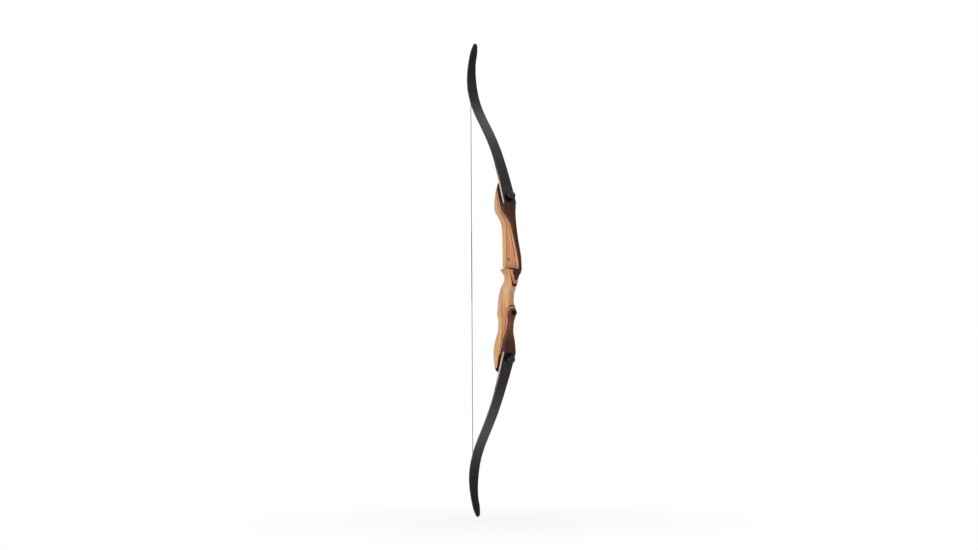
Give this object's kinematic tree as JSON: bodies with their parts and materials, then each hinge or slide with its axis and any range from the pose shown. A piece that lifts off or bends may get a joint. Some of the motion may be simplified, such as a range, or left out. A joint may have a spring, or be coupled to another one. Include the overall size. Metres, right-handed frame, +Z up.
{
  "type": "recurve bow",
  "caption": "Strung takedown recurve bow: laminated wooden riser with a cut-in sight window, black-faced recurved limbs held by hand knobs, and a served string.",
  "frame": {"origin": "throat of the grip, the lowest point of the hollow that the web of the hand presses into", "axes": "+X towards the target, +Y to the archer's left, +Z up the bow from the grip to the upper tip"},
  "size_m": [0.2567, 0.0444, 1.4975],
  "materials": {
    "light_wood": "satin lacquer over light straight-grained wood",
    "brown_veneer": "satin lacquer",
    "red_wood": "satin lacquer over red-brown wood",
    "pale_wood": "satin lacquer over pale pinkish wood",
    "dark_wood": "satin lacquer over dark brown wood",
    "black_laminate": "satin black phenolic laminate",
    "limb_wood": "satin lacquer on the limb's edge",
    "limb_glass": "black glass-fibre laminate, satin lacquer",
    "hardwood": "satin lacquer",
    "tip_laminate": "black tip laminate, satin lacquer",
    "brass": "machined",
    "steel": "zinc plated",
    "black_steel": "black oxide, satin",
    "knob_plastic": "black moulded plastic, satin",
    "string_fibre": "waxed twisted polyester strands",
    "serving_fibre": "tightly wound nylon thread"
  },
  "bodies": {
    "riser": {"riser_core_block": "light_wood", "riser_upper_belly_block": "light_wood", "riser_lower_belly_block": "light_wood", "riser_upper_veneer": "brown_veneer", "riser_lower_veneer": "brown_veneer", "riser_upper_red_stripe": "red_wood", "riser_lower_red_stripe": "red_wood", "riser_upper_pale_stripe": "pale_wood", "riser_lower_pale_stripe": "pale_wood", "riser_upper_front_block": "dark_wood", "riser_lower_front_block": "dark_wood", "upper_pad_wedge": "black_laminate", "lower_pad_wedge": "black_laminate", "upper_limb_core": "limb_wood", "lower_limb_core": "limb_wood", "upper_limb_front_glass": "limb_glass", "lower_limb_front_glass": "limb_glass", "upper_limb_belly_glass": "limb_glass", "lower_limb_belly_glass": "limb_glass", "upper_limb_butt_wedge": "hardwood", "lower_limb_butt_wedge": "hardwood", "upper_tip_overlay": "tip_laminate", "lower_tip_overlay": "tip_laminate", "upper_limb_insert": "brass", "lower_limb_insert": "brass", "upper_alignment_pin": "steel", "lower_alignment_pin": "steel", "plunger_bushing": "brass", "stabilizer_bushing": "black_steel", "bowstring": "string_fibre", "center_serving": "serving_fibre", "upper_string_loop": "serving_fibre", "lower_string_loop": "serving_fibre"},
    "upper_washer": {"upper_limb_washer": "black_steel"},
    "upper_knob": {"upper_limb_bolt": "steel", "upper_limb_knob": "knob_plastic"},
    "lower_washer": {"lower_limb_washer": "black_steel"},
    "lower_knob": {"lower_limb_bolt": "steel", "lower_limb_knob": "knob_plastic"}
  },
  "joints": [
    {"name": "upper_washer_slide", "type": "slide", "parent": "riser", "child": "upper_washer", "axis": [0.9291, 0, 0.3697], "range_m": [0, 0.015]},
    {"name": "upper_knob_turn", "type": "hinge", "parent": "upper_washer", "child": "upper_knob", "pos_m": [0.00805, 0, 0.24572], "axis": [0.9291, 0, 0.3697], "range_deg": [0, 4320]},
    {"name": "lower_washer_slide", "type": "slide", "parent": "riser", "child": "lower_washer", "axis": [0.9164, 0, -0.4003], "range_m": [0, 0.015]},
    {"name": "lower_knob_turn", "type": "hinge", "parent": "lower_washer", "child": "lower_knob", "pos_m": [0.00169, 0, -0.24549], "axis": [0.9164, 0, -0.4003], "range_deg": [0, 4320]}
  ],
  "couplings": [
    {"joint": "upper_knob_turn", "follows": "upper_washer_slide", "rad_per_m": 5026.5},
    {"joint": "lower_knob_turn", "follows": "lower_washer_slide", "rad_per_m": 5026.5}
  ]
}
